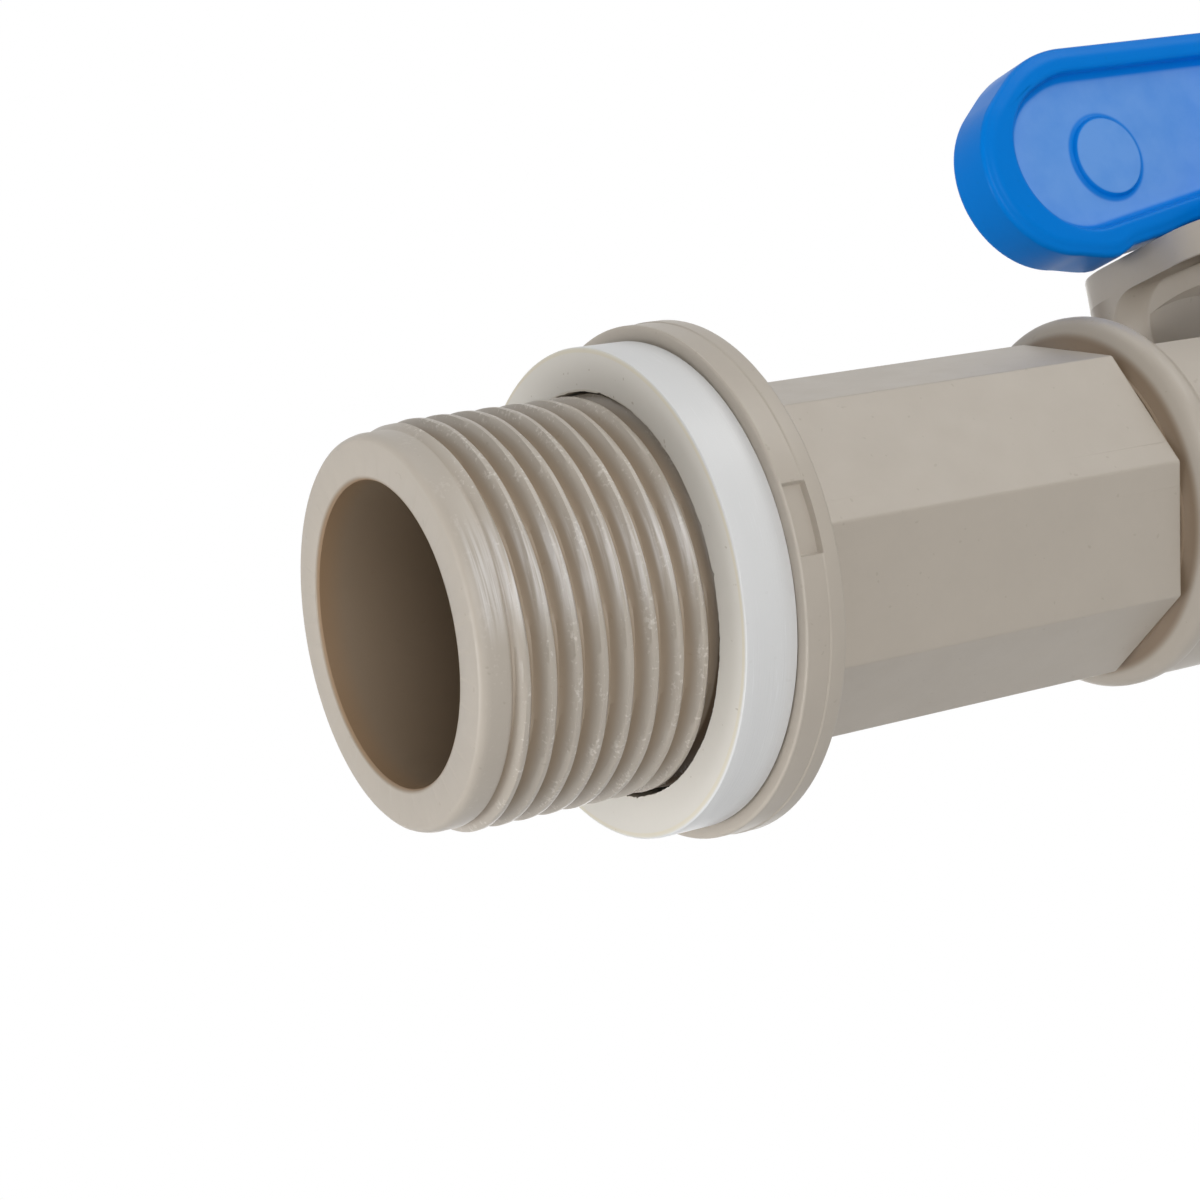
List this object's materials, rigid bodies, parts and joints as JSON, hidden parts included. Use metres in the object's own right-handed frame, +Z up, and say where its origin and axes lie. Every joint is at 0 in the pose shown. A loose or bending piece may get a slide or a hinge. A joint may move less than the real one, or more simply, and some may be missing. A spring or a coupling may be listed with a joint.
{
  "type": "quick connector tap",
  "caption": "Quarter-turn ball valve tap with a threaded tank spigot and washer, octagonal neck, winged handle and push-in tube socket.",
  "frame": {"origin": "centre of the flange's front face, on the flow axis, where the washer seats", "axes": "+X along the flow towards the push-in socket, +Z up along the stem to the handle"},
  "size_m": [0.1326, 0.0346, 0.0526],
  "materials": {
    "body_plastic": "moulded, satin",
    "handle_plastic": "moulded, satin",
    "washer_rubber": "pale soft rubber",
    "seat_plastic": "waxy white",
    "ball_plastic": "polished",
    "stem_plastic": "filled nylon",
    "seal_rubber": "black",
    "steel": "bright stainless"
  },
  "bodies": {
    "body": {"valve_body": "body_plastic", "inlet_washer": "washer_rubber", "inlet_seat": "seat_plastic", "outlet_seat": "seat_plastic", "inlet_seat_ring": "seal_rubber", "outlet_seat_ring": "seal_rubber", "tube_socket": "body_plastic", "face_ring": "seal_rubber", "tube_ring": "seal_rubber", "ring_spacer": "seat_plastic", "grab_ring": "steel", "cap_nut": "body_plastic"},
    "handle_and_ball": {"handle": "handle_plastic", "handle_screw": "steel", "handle_cover": "handle_plastic", "stem": "stem_plastic", "stem_washer": "seat_plastic", "stem_ring_lower": "seal_rubber", "stem_ring_upper": "seal_rubber", "ball": "ball_plastic"},
    "collet": {"collet": "handle_plastic"}
  },
  "joints": [
    {"name": "handle_turn", "type": "hinge", "parent": "body", "child": "handle_and_ball", "pos_m": [0.064, 0, 0], "axis": [0, 0, 1], "range_deg": [-90, 0]},
    {"name": "collet_slide", "type": "slide", "parent": "body", "child": "collet", "axis": [-1, 0, 0], "range_m": [0, 0.001]}
  ]
}
